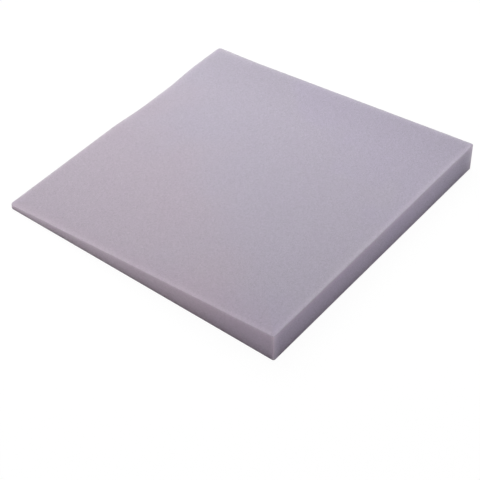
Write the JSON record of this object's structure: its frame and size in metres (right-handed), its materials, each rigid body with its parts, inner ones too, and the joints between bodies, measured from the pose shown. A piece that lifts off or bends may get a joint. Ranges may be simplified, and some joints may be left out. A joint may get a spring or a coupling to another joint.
{
  "type": "acoustic foam panel",
  "caption": "Square slab of open-cell acoustic foam, tapered from a thick edge to a thin one, with softly cut edges and a flat back.",
  "frame": {"origin": "on the plane of the flat back, under the middle of the panel's box", "axes": "+X from the thin edge to the thick edge, +Y along those edges to the side with the drawn-out corner, +Z out of the back through the sloping face"},
  "size_m": [0.5, 0.5, 0.0478],
  "materials": {
    "foam": "bare open-cell polyurethane foam, matt, pale lavender grey, with fine mottled cells"
  },
  "bodies": {
    "root": {"foam_panel": "foam"}
  },
  "joints": []
}
